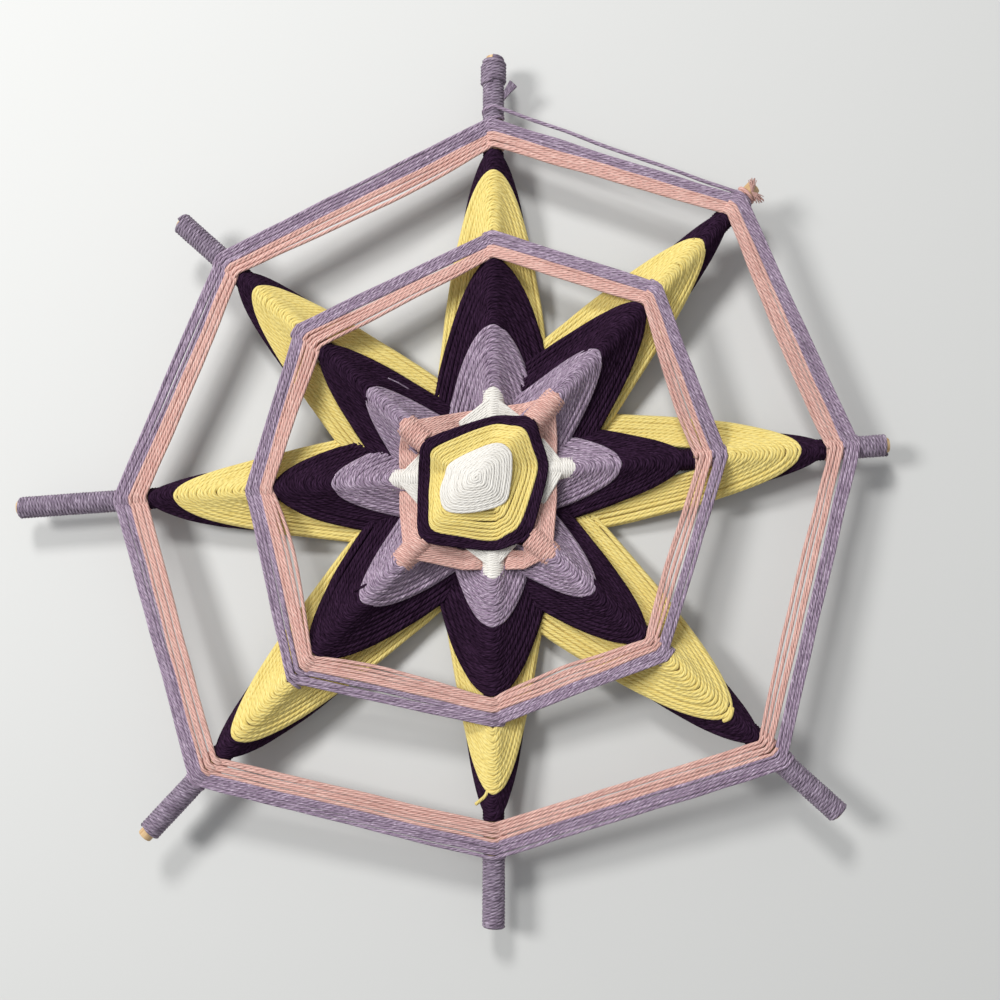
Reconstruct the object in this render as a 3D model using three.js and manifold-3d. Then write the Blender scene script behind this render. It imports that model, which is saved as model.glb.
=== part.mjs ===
import * as THREE from 'three';
import { mergeVertices } from 'three/addons/utils/BufferGeometryUtils.js';
import Module from 'manifold-3d';

const wasm = await Module();
wasm.setup();

// Ojo de dios: four wooden sticks crossed into eight arms and wound with yarn.
// Millimetres and degrees. The front faces +Z, the vertical stick runs along Y.

// Sticks and yarn
const stickDiameter = 5;
const stickSides = 16;
const stickChamfer = 0.4;
const yarnDiameter = 1.1; // as drawn tight round a stick
const clearance = 0.3; // between a winding and the stick or winding beside it
const layerGap = 0.4; // between the layers of yarn behind the sticks
const turnGap = 0.45; // between neighbouring turns of one yarn

// How far each winding reaches along the sticks, from the middle outwards
const whiteEyeReach = 13.3;
const whiteEyeRise = 2.2;
const whiteEyeTop = 0.35; // share of the eye's width that is flat on top
const yellowRingWidth = 6.9;
const purpleRingWidth = 4.7;
const whitePointsWidth = 7.4;
const pinkSquareWidth = 12.4;
const lavenderPetalsWidth = 14.5;
const purpleStarWidth = 22;
const yellowStarWidth = 21.5;
const purpleTipsWidth = 9.5;
const octagonLoops = 2; // full rounds of yarn in each of the four octagon bands

// Where the long strands pass the middle, as a share of where they leave their stick
const yellowWaist = 0.267;
const purpleWaist = 0.182;

// Half width of the roof of yarn over a stick, at its foot on the layer behind
const tipFoot = 3;
const squareFoot = 5;
const pointEnd = 0.97; // share of a star's point that its strands fill, short of the roof at its tip

// Loose ends of yarn
const topTail = 6;
const pinkEndLength = 5.5;

// Facets
const collarSides = 8;
const roofSteps = 5; // straight steps over the front of a wrapped stick
const wrapSteps = 6; // straight steps in one turn of yarn round a stick
const tubeSides = 4;
const sameCorner = 1e-4; // corners closer than this are one
const leastFacet = 0.04; // slivers thinner than this are smoothed away

// The two crosses are half-lapped, and the slanting cross lies in front of the upright one.
// aside: how far a stick passes from the middle, to the left of its direction
const sticks = [
  { name: 'horizontal_stick', angle: 1.7, aside: 2.05, front: false },
  { name: 'rising_stick', angle: 44.7, aside: 0.8, front: true },
  { name: 'vertical_stick', angle: 87.9, aside: -3.2, front: false },
  { name: 'falling_stick', angle: 135.7, aside: 3.85, front: true },
];

// The eight arms, counter-clockwise. The hand-wound bands stray from their mean reach by inner at
// the petals and by outer at the outer octagon; past is how far the stick stands out of the octagon.
const innerStray = 50;
const outerStray = 125;
const arms = [
  { name: 'right', stick: 0, sign: 1, inner: -5, outer: -3, past: 8.6, wrapped: true },
  { name: 'upper_right', stick: 1, sign: 1, inner: 5, outer: 2.5, past: 2.2, wrapped: false },
  { name: 'top', stick: 2, sign: 1, inner: 2, outer: 0, past: 18.8, wrapped: true },
  { name: 'upper_left', stick: 3, sign: 1, inner: -1, outer: -8, past: 15.6, wrapped: true },
  { name: 'left', stick: 0, sign: -1, inner: -2, outer: -2.5, past: 33.3, wrapped: true },
  { name: 'lower_left', stick: 1, sign: -1, inner: 4, outer: 10, past: 22.7, wrapped: true },
  { name: 'bottom', stick: 2, sign: -1, inner: -3.5, outer: -4.7, past: 22.3, wrapped: true },
  { name: 'lower_right', stick: 3, sign: -1, inner: 0, outer: 6, past: 22.8, wrapped: true },
];
const bareTip = 2.2; // wood left showing past an end wrap
const frontArms = arms.filter((arm) => sticks[arm.stick].front);
const backArms = arms.filter((arm) => !sticks[arm.stick].front);

// Derived sizes
const stickRadius = stickDiameter / 2;
const crossLevel = (stickDiameter + clearance) / 2; // height of each cross above or below the middle
const collarRadius = stickRadius + clearance + yarnDiameter;
const turnRadius = stickRadius + clearance + yarnDiameter / 2;
const turnPitch = yarnDiameter + turnGap;
const loopPitch = 2 * turnPitch; // a loop crosses the front of each stick twice
const bandWidth = (2 * octagonLoops - 1) * turnPitch + yarnDiameter;
const layerPitch = yarnDiameter + layerGap;

// Edges of the windings along the sticks
const yellowRing = spanAfter(whiteEyeReach, yellowRingWidth);
const purpleRing = spanAfter(yellowRing.end, purpleRingWidth);
const whitePoints = spanAfter(purpleRing.end, whitePointsWidth);
const pinkSquare = spanAfter(purpleRing.end, pinkSquareWidth);
const lavenderPetals = spanAfter(pinkSquare.end, lavenderPetalsWidth);
const purpleStar = spanAfter(lavenderPetals.end, purpleStarWidth);
const innerPinkStart = purpleStar.end + layerGap;
const innerLavenderStart = innerPinkStart + bandWidth + turnGap;
const yellowStar = spanAfter(innerLavenderStart + bandWidth + layerGap, yellowStarWidth);
const purpleTips = spanAfter(yellowStar.end, purpleTipsWidth);
const outerPinkStart = purpleTips.end + layerGap;
const outerLavenderStart = outerPinkStart + bandWidth + turnGap;

// Heights of the layers behind the sticks, each at the middle of its yarn
const backOfFrontWraps = crossLevel - collarRadius;
const backOfBackWraps = -crossLevel - collarRadius;
const whiteLayer = backOfFrontWraps - clearance - yarnDiameter / 2;
const pinkLayer = backOfBackWraps - layerGap - yarnDiameter / 2;
const lavenderLayer = pinkLayer - layerPitch;
const purpleLayer = lavenderLayer - layerPitch;
const yellowLayer = purpleLayer - layerPitch;
const tipsLayer = yellowLayer - layerPitch;

const colours = {
  wood: 0xd8bd92,
  white: 0xece8e2,
  yellow: 0xe9dc8e,
  purple: 0x2a1826,
  pink: 0xd9a295,
  lavender: 0x86778f,
};

function spanAfter(edge, width) {
  return { start: edge + clearance, end: edge + clearance + width };
}

function stickOf(arm) {
  return sticks[arm.stick];
}

function stickLevel(stick) {
  return stick.front ? crossLevel : -crossLevel;
}

function directionOf(stick) {
  const turn = THREE.MathUtils.degToRad(stick.angle);
  return new THREE.Vector3(Math.cos(turn), Math.sin(turn), 0);
}

// Distance along an arm of a mean reach, with the hand-wound stray of that arm.
function along(arm, reach) {
  if (reach < innerStray) {
    return reach + arm.inner * (reach / innerStray);
  }
  const share = (reach - innerStray) / (outerStray - innerStray);
  return reach + arm.inner + (arm.outer - arm.inner) * share;
}

// A point given by its distance along an arm, its distance to the left of it and its height.
function onArm(arm, distance, left, height) {
  const stick = stickOf(arm);
  const direction = directionOf(stick);
  const leftward = new THREE.Vector3(-direction.y, direction.x, 0);
  const point = leftward.clone().multiplyScalar(stick.aside + arm.sign * left);
  point.addScaledVector(direction, arm.sign * distance);
  point.z = height;
  return point;
}

function atReach(arm, reach, height) {
  return onArm(arm, along(arm, reach), 0, height);
}

function nextArm(index, step) {
  return arms[(index + step) % arms.length];
}

// Faces between each ring of points and the next, all with the same number of points
function sidesBetween(rings, closedRound) {
  const count = rings[0].length;
  const faces = [];
  const spans = closedRound ? rings.length : rings.length - 1;
  for (let ring = 0; ring < spans; ring += 1) {
    const next = ((ring + 1) % rings.length) * count;
    for (let side = 0; side < count; side += 1) {
      const beside = (side + 1) % count;
      faces.push(ring * count + side, ring * count + beside, next + beside);
      faces.push(ring * count + side, next + beside, next + side);
    }
  }
  return faces;
}

// A body through rings of points, with flat ends
function loft(rings) {
  const faces = sidesBetween(rings, false);
  const count = rings[0].length;
  const last = (rings.length - 1) * count;
  for (let side = 1; side < count - 1; side += 1) {
    faces.push(0, side + 1, side);
    faces.push(last, last + side, last + side + 1);
  }
  return bodyOf(rings, faces);
}

// A body through rings of points that comes round to its first ring again
function hoop(rings) {
  return bodyOf(rings, sidesBetween(rings, true));
}

function bodyOf(rings, faces) {
  const positions = rings.flat().flatMap((point) => point.toArray());
  const geometry = new THREE.BufferGeometry();
  geometry.setAttribute('position', new THREE.Float32BufferAttribute(positions, 3));
  geometry.setIndex(faces);
  return faceOutwards(geometry);
}

function enclosedVolume(geometry) {
  const places = geometry.getAttribute('position');
  const corners = [0, 1, 2].map(() => new THREE.Vector3());
  let volume = 0;
  for (let face = 0; face < geometry.index.count; face += 3) {
    corners.forEach((corner, place) => {
      corner.fromBufferAttribute(places, geometry.index.getX(face + place));
    });
    volume += corners[0].dot(corners[1].cross(corners[2])) / 6;
  }
  return volume;
}

function faceOutwards(geometry) {
  if (enclosedVolume(geometry) < 0) {
    geometry.setIndex(Array.from(geometry.index.array).reverse());
  }
  return geometry;
}

function toSolid(geometry) {
  const bare = new THREE.BufferGeometry();
  bare.setAttribute('position', geometry.getAttribute('position').clone());
  bare.setIndex(geometry.index);
  const merged = mergeVertices(bare, sameCorner);
  return new wasm.Manifold(
    new wasm.Mesh({
      numProp: 3,
      vertProperties: new Float32Array(merged.getAttribute('position').array),
      triVerts: new Uint32Array(merged.index.array),
    }),
  );
}

function toGeometry(solid) {
  const mesh = solid.asOriginal().simplify(leastFacet).getMesh();
  const geometry = new THREE.BufferGeometry();
  geometry.setAttribute('position', new THREE.BufferAttribute(mesh.vertProperties.slice(), 3));
  geometry.setIndex(new THREE.BufferAttribute(mesh.triVerts.slice(), 1));
  return geometry;
}

function joined(geometries) {
  const solids = geometries.map(toSolid);
  return solids.reduce((whole, solid) => whole.add(solid));
}

// A sheet of yarn one strand thick, from points along its middle, the faces between them and its edges,
// with the sheet to the left of each edge
function sheet(points, faces, edges) {
  const count = points.length;
  const triangles = faces.flatMap(([a, b, c]) => [a, c, b, a + count, b + count, c + count]);
  edges.forEach((edge) => {
    edge.forEach((from, place) => {
      const to = edge[(place + 1) % edge.length];
      triangles.push(from, to, to + count, from, to + count, from + count);
    });
  });
  const half = new THREE.Vector3(0, 0, yarnDiameter / 2);
  const lower = points.map((point) => point.clone().sub(half));
  const upper = points.map((point) => point.clone().add(half));
  return bodyOf([lower, upper], triangles);
}

// A flat plate of yarn with a hole in the middle, centred on a layer, with both outlines counter-clockwise
function plate(outline, hole, layer) {
  const points = [...outline, ...hole].map((point) => point.clone().setZ(layer));
  const outer = outline.map((point, place) => place);
  const inner = hole.map((point, place) => outline.length + place).reverse();
  return sheet(points, THREE.ShapeUtils.triangulateShape(outline, [hole]), [outer, inner]);
}

// A ring of points round a stick, across it at a distance along the arm.
function ringRound(arm, distance, radius, sides) {
  const level = stickLevel(stickOf(arm));
  const ring = [];
  for (let side = 0; side < sides; side += 1) {
    const turn = ((side + 0.5) / sides) * 2 * Math.PI;
    ring.push(onArm(arm, distance, radius * Math.cos(turn), level + radius * Math.sin(turn)));
  }
  return ring;
}

// A polygon of this radius keeps its flats outside the round radius that it stands for.
function overFlats(radius, sides) {
  return radius / Math.cos(Math.PI / sides);
}

function collar(arm, start, end, radius) {
  const corner = overFlats(radius, collarSides);
  return loft([ringRound(arm, start, corner, collarSides), ringRound(arm, end, corner, collarSides)]);
}

function outerEnd(arm) {
  return along(arm, outerLavenderStart) + bandWidth;
}

function stickEnd(arm) {
  return outerEnd(arm) + arm.past;
}

// Sticks
function roundStick(stickIndex) {
  const ahead = arms[stickIndex];
  const far = stickEnd(ahead);
  const near = -stickEnd(arms[stickIndex + 4]);
  const tipRadius = stickRadius - stickChamfer;
  return loft([
    ringRound(ahead, near, tipRadius, stickSides),
    ringRound(ahead, near + stickChamfer, stickRadius, stickSides),
    ringRound(ahead, far - stickChamfer, stickRadius, stickSides),
    ringRound(ahead, far, tipRadius, stickSides),
  ]);
}

// Where two sticks of one cross meet, as a distance along the first.
function crossingAlong(first, second) {
  const direction = directionOf(first);
  const other = directionOf(second);
  const across = new THREE.Vector3(-other.y, other.x, 0);
  const start = new THREE.Vector3(-direction.y, direction.x, 0).multiplyScalar(first.aside);
  return (second.aside - start.dot(across)) / direction.dot(across);
}

// The half of a stick that is cut away to let the other stick of its cross in.
function lapCut(stickIndex, otherIndex, upper) {
  const first = sticks[stickIndex];
  const middle = crossingAlong(first, sticks[otherIndex]);
  const half = stickRadius + clearance;
  const level = stickLevel(first) + (upper ? -clearance / 2 : clearance / 2);
  const far = level + (upper ? stickDiameter : -stickDiameter);
  const arm = arms[stickIndex];
  const sections = [middle - half, middle + half].map((distance) => [
    onArm(arm, distance, -stickDiameter, level),
    onArm(arm, distance, stickDiameter, level),
    onArm(arm, distance, stickDiameter, far),
    onArm(arm, distance, -stickDiameter, far),
  ]);
  return loft(sections);
}

function lappedStick(stickIndex) {
  const otherIndex = (stickIndex + 2) % sticks.length;
  const upper = stickIndex < otherIndex;
  const whole = toSolid(roundStick(stickIndex));
  return toGeometry(whole.subtract(toSolid(lapCut(stickIndex, otherIndex, upper))));
}

// Room for the sticks inside a winding
const stickRoom = joined(
  sticks.map((stick, index) => {
    const ahead = arms[index];
    const end = stickEnd(ahead) + clearance;
    const start = -stickEnd(arms[index + 4]) - clearance;
    return collar(ahead, start, end, stickRadius + clearance);
  }),
);

// White eye: a low cushion on the slanting arms
function whiteEye() {
  const foot = crossLevel + stickRadius + clearance;
  const ring = (share, height) => frontArms.map((arm) => atReach(arm, whiteEyeReach * share, height));
  return loft([
    ring(1, foot),
    ring(1, foot + yarnDiameter),
    ring(whiteEyeTop, foot + yarnDiameter + whiteEyeRise),
  ]);
}

// Ring of the eye: a band of yarn over the front of all eight arms, from arm to arm
function eyeRing(startOf, endReach) {
  const sections = arms.map((arm, index) => {
    const start = startOf(arm, index);
    const end = along(arm, endReach);
    const foot = stickLevel(stickOf(arm)) + stickRadius + 2 * clearance;
    return [
      onArm(arm, start, 0, foot),
      onArm(arm, end, 0, foot),
      onArm(arm, end, 0, foot + yarnDiameter),
      onArm(arm, start, 0, foot + yarnDiameter),
    ];
  });
  return toGeometry(toSolid(hoop(sections)).subtract(stickRoom));
}

// Where a straight side of the white eye passes over one of the back arms, as a distance along it
function whiteSideAlong(arm, index) {
  const side = [nextArm(index, arms.length - 1), nextArm(index, 1)].map((corner) => {
    return atReach(corner, whiteEyeReach, 0);
  });
  const middleLine = [onArm(arm, 0, 0, 0), atReach(arm, whiteEyeReach, 0)];
  return crossing(middleLine, side).distanceTo(middleLine[0]);
}

function alongArm(arm, point) {
  return point.dot(directionOf(stickOf(arm))) * arm.sign;
}

// How far out on an arm the layers lie flat: to the farther of the yellow star's valleys beside it
function flatReach(arm) {
  const outline = starOutline(yellowStar.end, 2, yellowWaist);
  const tip = 2 * arms.indexOf(arm);
  return Math.max(alongArm(arm, outline.at(tip - 1)), alongArm(arm, outline[tip + 1]));
}

// How far the layers have risen towards a stick, at a distance along its arm. The rearmost layer meets
// the back of the stick at its points.
function riseAt(arm, distance) {
  const foot = flatReach(arm);
  const tip = along(arm, purpleTips.end);
  const stickBack = stickLevel(stickOf(arm)) - collarRadius - clearance - yarnDiameter / 2;
  return (stickBack - tipsLayer) * Math.max(0, (distance - foot) / (tip - foot));
}

// The yarn over a stick and down both sides of it to its layer behind
function roof(arm, start, end, layer, foot) {
  const level = stickLevel(stickOf(arm));
  const corner = collarRadius / Math.cos(Math.PI / (2 * roofSteps));
  const section = (distance, half) => {
    const bottom = layer + riseAt(arm, distance) - yarnDiameter / 3;
    const points = [onArm(arm, distance, -half, bottom), onArm(arm, distance, half, bottom)];
    for (let step = 0; step <= roofSteps; step += 1) {
      const turn = (step / roofSteps) * Math.PI;
      points.push(onArm(arm, distance, corner * Math.cos(turn), level + corner * Math.sin(turn)));
    }
    return points;
  };
  return loft([section(start, Math.max(foot, tipFoot)), section(end, tipFoot)]);
}

// Where two straight strands cross, each given by two of its points
function crossing([a, b], [c, d]) {
  const first = b.clone().sub(a);
  const second = d.clone().sub(c);
  const between = c.clone().sub(a);
  const share = (between.x * second.y - between.y * second.x) / (first.x * second.y - first.y * second.x);
  return a.clone().addScaledVector(first, share);
}

// Strands of a star from an arm at a reach, turned to the left or right of the arm by a number of arms
// and meeting the arm there at a share of the reach
function starStrand(armIndex, turn, reach, share) {
  return [atReach(arms[armIndex], reach, 0), atReach(nextArm(armIndex, turn), reach * share, 0)];
}

// Outline of a star with a point on each arm and a valley between each two
function starOutline(reach, turn, share) {
  const back = arms.length - turn;
  return arms.flatMap((arm, index) => {
    const next = (index + 1) % arms.length;
    const leaving = starStrand(index, turn, reach, share);
    const meeting = starStrand(next, back, reach, share);
    return [atReach(arm, reach, 0), crossing(leaving, meeting)];
  });
}

// Rim of a star's point, from its right side over its tip to the valley on its left. It bends where the
// layers begin to rise.
function pointRim(arm, right, tip, left, layer) {
  const bend = (side) => {
    const reach = alongArm(arm, side);
    const share = (flatReach(arm) - reach) / (alongArm(arm, tip) - reach);
    return side.clone().lerp(tip, Math.max(share, 1 - pointEnd));
  };
  const ends = [right, left].map((side) => side.clone().lerp(tip, pointEnd));
  const rim = [bend(right), ...ends, bend(left), left.clone()];
  return rim.map((point) => point.setZ(layer + riseAt(arm, alongArm(arm, point))));
}

// The strands of a star: a flat middle with a hole, and a point on each arm that rises to its stick
function starStrands(outline, hole, layer) {
  const valleys = outline.filter((point, place) => place % 2 === 1);
  const rims = arms.map((arm, index) => {
    return pointRim(arm, valleys.at(index - 1), outline[2 * index], valleys[index], layer);
  });
  const rim = rims.flat();
  const size = rims[0].length;
  const points = [...rim, ...hole.map((point) => point.clone().setZ(layer))];
  const middle = THREE.ShapeUtils.triangulateShape(valleys, [hole]);
  const placeOf = (corner) => {
    return corner < valleys.length ? size * (corner + 1) - 1 : rim.length + corner - valleys.length;
  };
  const faces = middle.map((face) => face.map(placeOf));
  rims.forEach((own, index) => {
    const [bendRight, tipRight, tipLeft, bendLeft, left] = own.map((point, place) => index * size + place);
    const right = (left + rim.length - size) % rim.length;
    faces.push([right, bendRight, bendLeft], [right, bendLeft, left]);
    faces.push([bendRight, tipRight, tipLeft], [bendRight, tipLeft, bendLeft]);
  });
  const outer = rim.map((point, place) => place);
  const inner = hole.map((point, place) => rim.length + place).reverse();
  return sheet(points, faces, [outer, inner]);
}

function roofs(armList, startOf, end, layer, footOf) {
  return armList.map((arm) => {
    const from = along(arm, startOf(arm));
    const to = along(arm, end);
    return roof(arm, from, to, layer, footOf(to - from));
  });
}

const petalSlope = Math.tan(Math.PI / 8); // strands to the third arm leave a stick at 22.5 degrees

// A square of yarn on four of the arms, passing behind the four between
function squareOutline(armList, reach) {
  return armList.map((arm) => atReach(arm, reach, 0));
}

function whitePointsSolid() {
  const edges = [whitePoints.end, whitePoints.start].map((reach) => squareOutline(backArms, reach));
  const wraps = backArms.map((arm) => {
    return collar(arm, along(arm, whitePoints.start), along(arm, whitePoints.end), collarRadius);
  });
  return toGeometry(joined([plate(...edges, whiteLayer), ...wraps]).subtract(stickRoom));
}

function pinkSquareSolid() {
  const reaches = [pinkSquare.end - clearance, pinkSquare.start + clearance];
  const edges = reaches.map((reach) => squareOutline(frontArms, reach));
  const start = () => pinkSquare.start;
  const wraps = roofs(frontArms, start, pinkSquare.end, pinkLayer, () => squareFoot);
  return toGeometry(joined([plate(...edges, pinkLayer), ...wraps]).subtract(stickRoom));
}

// Star of strands that run straight from each arm to the third arm along
function straightStar(startOf, end, layer) {
  const petals = roofs(arms, startOf, end, layer, (width) => width * petalSlope);
  const innermost = (index) => {
    const reach = startOf(arms[index]);
    return [atReach(arms[index], reach, 0), atReach(nextArm(index, 3), reach, 0)];
  };
  const hole = arms.map((arm, index) => {
    return crossing(innermost(index), innermost((index + 1) % arms.length));
  });
  const strands = starStrands(starOutline(end, 3, 1), hole, layer);
  return toGeometry(joined([strands, ...petals]).subtract(stickRoom));
}

// Star of strands that run from each arm to the opposite one, bowed round the middle on both sides
function bowedStar(span, waist, layer) {
  const petals = roofs(arms, () => span.start, span.end, layer, (width) => width * waist);
  const hole = arms.map((arm) => atReach(arm, span.start * waist, 0));
  const strands = starStrands(starOutline(span.end, 2, waist), hole, layer);
  return toGeometry(joined([strands, ...petals]).subtract(stickRoom));
}

// A tube of yarn along a path of points
function yarnTube(path) {
  const rings = [];
  let side = new THREE.Vector3(0, 0, 1);
  path.forEach((point, index) => {
    const before = path[Math.max(index - 1, 0)];
    const after = path[Math.min(index + 1, path.length - 1)];
    const incoming = point.clone().sub(before).normalize();
    const outgoing = after.clone().sub(point).normalize();
    const heading = incoming.add(outgoing).normalize();
    side = side.clone().addScaledVector(heading, -side.dot(heading)).normalize();
    const other = new THREE.Vector3().crossVectors(heading, side);
    const ring = [];
    for (let corner = 0; corner < tubeSides; corner += 1) {
      const turn = ((corner + 0.5) / tubeSides) * 2 * Math.PI;
      const place = point.clone().addScaledVector(side, Math.cos(turn) * yarnDiameter * 0.5);
      ring.push(place.addScaledVector(other, Math.sin(turn) * yarnDiameter * 0.5));
    }
    rings.push(ring);
  });
  return loft(rings);
}

// The least gap of a yarn to itself, measured between points along its path
function leastGap(path) {
  const spacing = yarnDiameter / 3;
  const points = [];
  for (let index = 0; index < path.length - 1; index += 1) {
    const length = path[index].distanceTo(path[index + 1]);
    const steps = Math.ceil(length / spacing);
    for (let step = 0; step < steps; step += 1) {
      points.push(path[index].clone().lerp(path[index + 1], step / steps));
    }
  }
  const apart = Math.ceil((3 * turnRadius) / spacing);
  let least = Infinity;
  for (let first = 0; first < points.length; first += 1) {
    for (let second = first + apart; second < points.length; second += 1) {
      least = Math.min(least, points[first].distanceToSquared(points[second]));
    }
  }
  return Math.sqrt(least) - yarnDiameter;
}

function sayGap(name, path) {
  console.log(`${name}: least gap to itself ${leastGap(path).toFixed(2)} mm`);
}

// One turn of yarn round a stick, from over its front to over its front again
function turnPoints(arm, start, advance) {
  const level = stickLevel(stickOf(arm));
  const corner = overFlats(turnRadius, wrapSteps);
  const points = [];
  for (let step = 0; step < wrapSteps; step += 1) {
    const turn = Math.PI / 2 - ((step + 0.5) / wrapSteps) * 2 * Math.PI;
    const share = THREE.MathUtils.clamp((step - 0.5) / (wrapSteps - 3), 0, 1);
    const left = corner * Math.cos(turn);
    points.push(onArm(arm, start + advance * share, left, level + corner * Math.sin(turn)));
  }
  return points;
}

// Octagon band: one yarn wound outwards round all arms, with a full turn round each stick
function octagonPath(bandStart) {
  const path = [];
  const lead = overFlats(turnRadius, wrapSteps) + yarnDiameter;
  for (let loop = 0; loop < octagonLoops; loop += 1) {
    arms.forEach((arm) => {
      const start = along(arm, bandStart) + yarnDiameter / 2 + loop * loopPitch;
      const front = stickLevel(stickOf(arm)) + turnRadius;
      path.push(onArm(arm, start, -lead, front));
      path.push(...turnPoints(arm, start, turnPitch));
      path.push(onArm(arm, start + turnPitch, lead, front));
    });
  }
  return path;
}

// End wrap: one yarn wound along the stick from the outer octagon to near the stick's end
function endWrapPath(arm) {
  const level = stickLevel(stickOf(arm));
  const corner = overFlats(turnRadius, wrapSteps);
  const start = outerEnd(arm) + turnGap + yarnDiameter / 2;
  const room = stickEnd(arm) - bareTip - yarnDiameter / 2 - start;
  const steps = Math.floor(Math.max(room / turnPitch, 1) * wrapSteps);
  const path = [];
  for (let step = 0; step <= steps; step += 1) {
    const turn = Math.PI / 2 - (step / wrapSteps) * 2 * Math.PI;
    const distance = start + (step / wrapSteps) * turnPitch;
    path.push(onArm(arm, distance, corner * Math.cos(turn), level + corner * Math.sin(turn)));
  }
  const first = path[0].clone().sub(path[1]).normalize();
  const last = path[path.length - 1].clone().sub(path[path.length - 2]).normalize();
  const tail = arm.name === 'top' ? topTail : yarnDiameter;
  path.unshift(path[0].clone().addScaledVector(first, yarnDiameter));
  path.push(path[path.length - 1].clone().addScaledVector(last, tail));
  return path;
}

// Cut end of the pink yarn, along the front of the stick that has no end wrap
function pinkEndPath(arm) {
  const level = stickLevel(stickOf(arm));
  const start = outerEnd(arm) + turnGap;
  return [0, 0.5, 1].map((share) => {
    const lift = turnRadius + share * share * yarnDiameter;
    return onArm(arm, start + share * pinkEndLength, -share * yarnDiameter, level + lift);
  });
}

const model = new THREE.Group();
model.name = 'ojo_de_dios';

function addPiece(name, geometry, colour, roughness) {
  geometry.computeVertexNormals();
  const material = new THREE.MeshStandardMaterial({ color: colour, roughness, metalness: 0 });
  const piece = new THREE.Mesh(geometry, material);
  piece.name = name;
  model.add(piece);
}

const woodRoughness = 0.7;
const yarnRoughness = 0.95;

sticks.forEach((stick, index) => {
  addPiece(stick.name, lappedStick(index), colours.wood, woodRoughness);
});

// The yellow ring follows the white square, whose sides pass over the back arms nearer the middle.
const yellowStart = (arm, index) => {
  const edge = stickOf(arm).front ? along(arm, whiteEyeReach) : whiteSideAlong(arm, index);
  return edge + 2 * clearance;
};
const yellowEye = eyeRing(yellowStart, yellowRing.end);
const purpleEye = eyeRing((arm) => along(arm, purpleRing.start), purpleRing.end);
addPiece('white_eye', whiteEye(), colours.white, yarnRoughness);
addPiece('yellow_eye_ring', yellowEye, colours.yellow, yarnRoughness);
addPiece('purple_eye_ring', purpleEye, colours.purple, yarnRoughness);
addPiece('white_points', whitePointsSolid(), colours.white, yarnRoughness);
addPiece('pink_square', pinkSquareSolid(), colours.pink, yarnRoughness);

const petalStart = (arm) => (stickOf(arm).front ? lavenderPetals.start : whitePoints.end + clearance);
const lavenderSolid = straightStar(petalStart, lavenderPetals.end, lavenderLayer);
addPiece('lavender_petals', lavenderSolid, colours.lavender, yarnRoughness);
const starSolid = straightStar(() => purpleStar.start, purpleStar.end, purpleLayer);
addPiece('purple_star', starSolid, colours.purple, yarnRoughness);
addPiece('yellow_star', bowedStar(yellowStar, yellowWaist, yellowLayer), colours.yellow, yarnRoughness);
addPiece('purple_tips', bowedStar(purpleTips, purpleWaist, tipsLayer), colours.purple, yarnRoughness);

const octagons = [
  { name: 'inner_octagon_pink', start: innerPinkStart, colour: colours.pink },
  { name: 'inner_octagon_lavender', start: innerLavenderStart, colour: colours.lavender },
  { name: 'outer_octagon_pink', start: outerPinkStart, colour: colours.pink },
  { name: 'outer_octagon_lavender', start: outerLavenderStart, colour: colours.lavender },
];
octagons.forEach((band) => {
  const path = octagonPath(band.start);
  sayGap(band.name, path);
  addPiece(band.name, yarnTube(path), band.colour, yarnRoughness);
});

arms.forEach((arm) => {
  if (arm.wrapped) {
    const path = endWrapPath(arm);
    sayGap(`${arm.name}_end_wrap`, path);
    addPiece(`${arm.name}_end_wrap`, yarnTube(path), colours.lavender, yarnRoughness);
  } else {
    addPiece('pink_loose_end', yarnTube(pinkEndPath(arm)), colours.pink, yarnRoughness);
  }
});

// The origin is under the middle of the whole piece, at the level it lies on.
const extent = new THREE.Box3().setFromObject(model);
const middle = extent.getCenter(new THREE.Vector3());
model.children.forEach((piece) => {
  piece.geometry.translate(-middle.x, -middle.y, -extent.min.z);
});

export default model;
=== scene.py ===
import math
import random

import bmesh
import bpy
import numpy as np
from mathutils import Euler, Matrix, Vector, noise


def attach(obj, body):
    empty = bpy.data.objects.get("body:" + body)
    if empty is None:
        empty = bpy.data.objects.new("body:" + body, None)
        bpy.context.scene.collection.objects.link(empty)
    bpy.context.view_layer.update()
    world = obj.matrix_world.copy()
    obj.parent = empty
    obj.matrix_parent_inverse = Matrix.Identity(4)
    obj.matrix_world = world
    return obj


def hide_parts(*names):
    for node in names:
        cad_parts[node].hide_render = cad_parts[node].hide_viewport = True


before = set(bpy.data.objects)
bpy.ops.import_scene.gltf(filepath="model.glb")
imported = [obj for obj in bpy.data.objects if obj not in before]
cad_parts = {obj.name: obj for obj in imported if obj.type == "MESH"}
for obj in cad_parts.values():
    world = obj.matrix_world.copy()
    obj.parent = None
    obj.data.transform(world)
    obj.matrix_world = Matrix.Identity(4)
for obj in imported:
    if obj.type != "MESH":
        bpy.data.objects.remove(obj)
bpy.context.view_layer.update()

scene = bpy.context.scene
scene.view_settings.view_transform = "Standard"
mm = 0.001
# without a seed, noise vectors change with the clock
noise.seed_set(11)


# camera at the photograph's viewing angle
cameraSetup = {
    "place": (0.0372488, -0.0512745, 0.4537767),
    "turn": (5.548, 2.728, -2.145),
    "lens": 46.8,
    "sensor": 36.0,
    "nearest": 0.01,
}
cameraData = bpy.data.cameras.new("camera")
cameraData.lens = cameraSetup["lens"]
cameraData.sensor_width = cameraSetup["sensor"]
cameraData.clip_start = cameraSetup["nearest"]
camera = bpy.data.objects.new("camera", cameraData)
camera.location = cameraSetup["place"]
camera.rotation_euler = Euler([math.radians(turn) for turn in cameraSetup["turn"]])
scene.collection.objects.link(camera)
scene.camera = camera
print("camera placed")


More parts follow.
